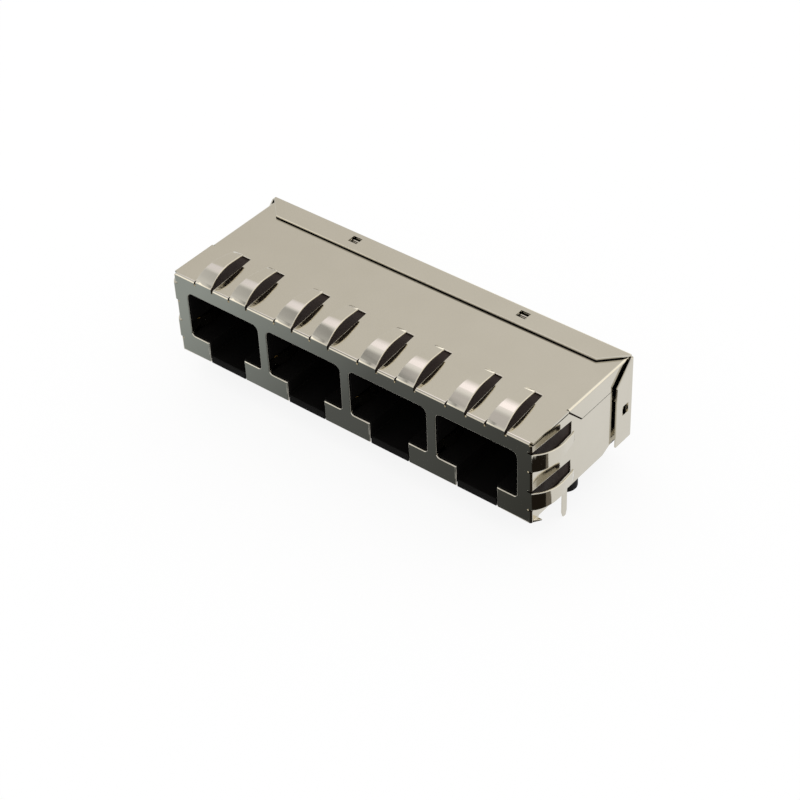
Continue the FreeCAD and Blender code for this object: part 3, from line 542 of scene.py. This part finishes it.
@dataclass
class Interior:
    """The black moulding, its contact inserts and the contacts."""

    housing_edge: float = 0.06 * MM

    def build(self) -> list[bpy.types.Object]:
        """Make the housing and dress the inserts and contacts.

        Returns:
            All pieces inside the shield.
        """
        housing = EdgedPiece("housing", "housing_moulding", Slot.HOUSING, self.housing_edge)
        made = [housing.build(HOUSING_BLACK.build())]
        insert_black = INSERT_BLACK.build()
        gold = GOLD.build()
        for name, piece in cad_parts.items():
            if name.startswith("contact_insert"):
                made.append(self.dress(piece, insert_black))
            elif name.startswith("contact_"):
                made.append(self.dress(piece, gold))
        return made

    @staticmethod
    def dress(piece: bpy.types.Object, material: bpy.types.Material) -> bpy.types.Object:
        """Give a carried-over solid its finish.

        Args:
            piece: Object of the solid.
            material: Its finish.

        Returns:
            The same object.
        """
        piece.data.materials.clear()
        piece.data.materials.append(material)
        return piece


# Studio

@dataclass(frozen=True)
class Card:
    """A flat card, in millimetres, that only shows in reflections and so shades bright metal.

    It has one tone, or fades from left to right into a second one.
    """

    name: str
    centre: Triple
    facing: Triple
    size: tuple[float, float]
    tone: str
    right_tone: str = ""
    fade: tuple[float, float] = (0.0, 0.0)
    strength: float = 1.0
    soft_edge: float = 0.0

    def build(self) -> bpy.types.Object:
        """Stand the card in its place.

        Returns:
            The card's object.
        """
        width, depth = (side * MM for side in self.size)
        place = Matrix.Translation([value * MM for value in self.centre])
        turn = Vector(self.facing).to_track_quat("Z", "Y").to_matrix().to_4x4()
        shape = bmesh.new()
        bmesh.ops.create_grid(shape, x_segments=1, y_segments=1, size=0.5)
        bmesh.ops.scale(shape, vec=(width, depth, 1.0), verts=shape.verts)
        bmesh.ops.transform(shape, matrix=place @ turn, verts=shape.verts)
        card = add_object(shape, self.name, self.paper())
        card.visible_camera = False
        card.visible_diffuse = False
        card.visible_shadow = False
        card.visible_transmission = False
        return card

    def paper(self) -> bpy.types.Material:
        """Make the glowing surface of the card.

        Returns:
            The finished material.
        """
        material = start_material(f"{self.name}_paper")
        tree = material.node_tree
        place = add_node(tree, "ShaderNodeTexCoord").outputs["Object"]
        axes = add_node(tree, "ShaderNodeSeparateXYZ", {"Vector": place})
        light = to_linear(self.tone)
        if self.right_tone:
            left, right = self.fade
            share = add_node(tree, "ShaderNodeMapRange", {
                "Value": axes.outputs["X"], "From Min": left * MM, "From Max": right * MM,
            })
            light = add_node(tree, "ShaderNodeMix", {
                "Factor": share.outputs["Result"], MIX_FIRST: light, MIX_SECOND: to_linear(self.right_tone),
            }, data_type="RGBA").outputs[MIX_RESULT]
        glow = add_node(tree, "ShaderNodeEmission", {"Color": light, "Strength": self.strength}).outputs["Emission"]
        if self.soft_edge:
            glow = self.soften(tree, axes.outputs["Y"], glow)
        add_node(tree, "ShaderNodeOutputMaterial", {"Surface": glow})
        return material

    def soften(
        self, tree: bpy.types.NodeTree, along: bpy.types.NodeSocket, glow: bpy.types.NodeSocket,
    ) -> bpy.types.NodeSocket:
        """Let a level card fade out towards its front and back edges.

        Args:
            tree: Node tree of the card.
            along: Output that gives the Y coordinate.
            glow: Shader of the card.

        Returns:
            Shader that turns clear at both edges.
        """
        half = self.size[1] * MM / 2
        offset = add_node(tree, "ShaderNodeMath", {0: along, 1: self.centre[1] * MM}, operation="SUBTRACT")
        distance = add_node(tree, "ShaderNodeMath", {0: offset.outputs["Value"]}, operation="ABSOLUTE")
        share = add_node(tree, "ShaderNodeMapRange", {
            "Value": distance.outputs["Value"], "From Min": half, "From Max": half - self.soft_edge * MM,
        }, interpolation_type="SMOOTHSTEP")
        clear = add_node(tree, "ShaderNodeBsdfTransparent")
        mixed = add_node(tree, "ShaderNodeMixShader", {
            "Fac": share.outputs["Result"], 1: clear.outputs["BSDF"], 2: glow,
        })
        return mixed.outputs["Shader"]


@dataclass(frozen=True)
class Softbox:
    """A square soft lamp that looks at the jack and shows in no reflection, where cards stand for it."""

    name: str
    colour: str
    direction: Triple
    distance: float
    size: float
    radiance: float

    def build(self, target: Vector) -> bpy.types.Object:
        """Hang the lamp.

        Args:
            target: Point that the lamp looks at.

        Returns:
            The lamp's object.
        """
        lamp = bpy.data.lights.new(self.name, "AREA")
        lamp.shape = "SQUARE"
        lamp.size = self.size
        lamp.energy = self.radiance * math.pi * self.size ** 2
        lamp.color = to_linear(self.colour)[:3]
        holder = bpy.data.objects.new(self.name, lamp)
        towards = Vector(self.direction).normalized()
        holder.location = target + towards * self.distance
        holder.rotation_euler = towards.to_track_quat("Z", "Y").to_euler()
        holder.visible_glossy = False
        bpy.context.scene.collection.objects.link(holder)
        return holder


@dataclass
class Studio:
    """White floor and world, the soft lamp, shading cards and the camera."""

    white: str = "#FFFFFF"
    floor_size: float = 4.0
    # How far the floor's own white covers its shading for a ray that sees it
    white_share: float = 0.87
    image_side: float = 800.0
    sensor: float = 36.0
    azimuth: float = 40.47
    elevation: float = 39.96
    roll: float = -2.72
    distance: float = 273.2 * MM
    focal_pixels: float = 2087.5
    pivot: Triple = (0.0, -1.2 * MM, 6.15 * MM)
    shift_right: float = 0.77 * MM
    shift_up: float = -5.71 * MM
    clip_near: float = 1.0 * MM
    clip_far: float = 10.0

    def build(self) -> None:
        """Set up everything that is not part of the jack."""
        bpy.context.scene.view_settings.view_transform = "Standard"
        self.make_floor()
        self.make_world()
        KEY_SOFTBOX.build(Vector(self.pivot))
        for card in CARDS:
            card.build()
        self.make_camera()

    def make_floor(self) -> bpy.types.Object:
        """Lay the floor under the ground pins.

        Returns:
            The floor's object.
        """
        shape = bmesh.new()
        bmesh.ops.create_grid(shape, x_segments=1, y_segments=1, size=self.floor_size / 2)
        bmesh.ops.translate(shape, vec=(0.0, 0.0, CAD_BOX[0].z), verts=shape.verts)
        floor = add_object(shape, "floor", self.floor_paper())
        return floor

    def floor_paper(self) -> bpy.types.Material:
        """Make paper that shows white, also in metal, and keeps the jack's shadow.

        Returns:
            The finished material.
        """
        material = start_material("white_paper")
        tree = material.node_tree
        path = add_node(tree, "ShaderNodeLightPath")
        mirrored = add_node(tree, "ShaderNodeMath", {
            0: path.outputs["Is Glossy Ray"], 1: path.outputs["Is Transmission Ray"],
        }, operation="MAXIMUM")
        seen = add_node(tree, "ShaderNodeMath", {
            0: path.outputs["Is Camera Ray"], 1: mirrored.outputs["Value"],
        }, operation="MAXIMUM")
        share = add_node(tree, "ShaderNodeMath", {
            0: seen.outputs["Value"], 1: self.white_share,
        }, operation="MULTIPLY")
        paper = add_node(tree, "ShaderNodeBsdfDiffuse", {"Color": to_linear(self.white)})
        glow = add_node(tree, "ShaderNodeEmission", {"Color": to_linear(self.white), "Strength": 1.0})
        mixed = add_node(tree, "ShaderNodeMixShader", {
            "Fac": share.outputs["Value"], 1: paper.outputs["BSDF"], 2: glow.outputs["Emission"],
        })
        add_node(tree, "ShaderNodeOutputMaterial", {"Surface": mixed.outputs["Shader"]})
        return material

    def make_world(self) -> None:
        """Surround the scene with white that lights it evenly."""
        world = bpy.data.worlds.new("white_room")
        bpy.context.scene.world = world
        world.use_nodes = True
        tree = world.node_tree
        tree.nodes.clear()
        room = add_node(tree, "ShaderNodeBackground", {"Color": to_linear(self.white), "Strength": 1.0})
        add_node(tree, "ShaderNodeOutputWorld", {"Surface": room.outputs["Background"]})

    def make_camera(self) -> bpy.types.Object:
        """Place the camera at the photograph's angle.

        Returns:
            The camera's object.
        """
        turn, rise, lean = (math.radians(angle) for angle in (self.azimuth, self.elevation, self.roll))
        back = Vector((math.sin(turn) * math.cos(rise), -math.cos(turn) * math.cos(rise), math.sin(rise)))
        level = Vector((math.cos(turn), math.sin(turn), 0.0))
        upright = back.cross(level)
        right = math.cos(lean) * level + math.sin(lean) * upright
        up = math.cos(lean) * upright - math.sin(lean) * level
        place = Vector(self.pivot) + back * self.distance + right * self.shift_right + up * self.shift_up
        lens = bpy.data.cameras.new("camera")
        lens.sensor_width = self.sensor
        lens.lens = self.sensor * self.focal_pixels / self.image_side
        lens.clip_start, lens.clip_end = self.clip_near, self.clip_far
        camera = bpy.data.objects.new("camera", lens)
        axes = Matrix((right, up, back)).transposed().to_4x4()
        camera.matrix_world = Matrix.Translation(place) @ axes
        bpy.context.scene.collection.objects.link(camera)
        bpy.context.scene.camera = camera
        return camera


KEY_SOFTBOX = Softbox(
    "key_softbox", "#FFE8E8", direction=(-0.5, 0.28, 0.82), distance=0.25, size=0.08, radiance=0.75,
)

UP, DOWN = (0.0, 0.0, 1.0), (0.0, 0.0, -1.0)
# Heights of the cards that lie just above the floor and of those that hang level over the front
LYING, HANGING = -3.7, 145.0

CARDS = [
    # Grey of the front plate, darker to the right
    Card("front_left_card", (-38.75, -54.0, LYING), UP, (62.5, 80.4), "#ADB6B8", "#636768", (-40.0, -7.5)),
    Card("front_right_card", (11.75, -54.0, LYING), UP, (38.5, 80.4), "#636768", "#40413F", (-7.5, 28.0)),
    # Dark bands at the front of the side fingers
    Card("right_card", (46.0, -21.0, LYING), UP, (30.0, 24.0), "#231E19", "#E6E5E2", (49.0, 58.0)),
    Card("right_edge_card", (51.5, -7.6, LYING), UP, (33.0, 2.8), "#7A746B", "#E6E5E2", (51.0, 67.0)),
    # Even tone of the top panel
    Card("back_card", (-152.0, 174.0, 198.0), (0.5, -0.58, -0.64), (250.0, 230.0),
         "#E4E0D9", "#F0EDE8", (-230.0, -120.0)),
    # Shade on the ramps of the top fingers, and the glow before their crests
    Card("overhead_left_card", (-136.5, -79.0, HANGING), DOWN, (107.0, 176.0),
         "#F1F1F1", "#AEAEAE", (-140.0, -83.0), soft_edge=14.0),
    Card("overhead_right_card", (-46.5, -83.5, HANGING), DOWN, (73.0, 167.0),
         "#AEAEAE", "#E2DFE1", (-83.0, -60.0), soft_edge=40.0),
    Card("key_glow_card", (-132.0, 80.0, 220.0), DOWN, (190.0, 206.0),
         "#CECBD0", "#FFF8FF", (-180.0, -84.0), strength=1.75, soft_edge=95.0),
    # Bright lines along the rounded right edges, the front fold and the tips of the top fingers
    Card("rim_card", (140.0, 112.0, 118.0), (-0.72, -0.58, -0.38), (170.0, 220.0), "#FFFBF2", strength=1.52),
    Card("fold_card", (-109.0, -188.0, 66.0), (0.5, 0.8, -0.3), (190.0, 125.0),
         "#FFFBF2", "#C8C4BC", (-170.0, -80.0), strength=1.8),
    Card("tip_card", (-104.0, 215.0, 44.0), (0.36, -0.93, -0.05), (150.0, 60.0),
         "#ABA7A2", "#FFFBF2", (-130.0, -108.0), strength=1.7),
]


def main() -> None:
    """Build the jack and its studio, and log how many faces each piece has."""
    logging.basicConfig(level=logging.INFO, format="%(name)s: %(message)s")
    for assembly in (Shield(), Interior()):
        for piece in assembly.build():
            LOG.info("%s: %d faces", piece.name, len(piece.data.polygons))
    Studio().build()


if __name__ == "__main__":
    main()
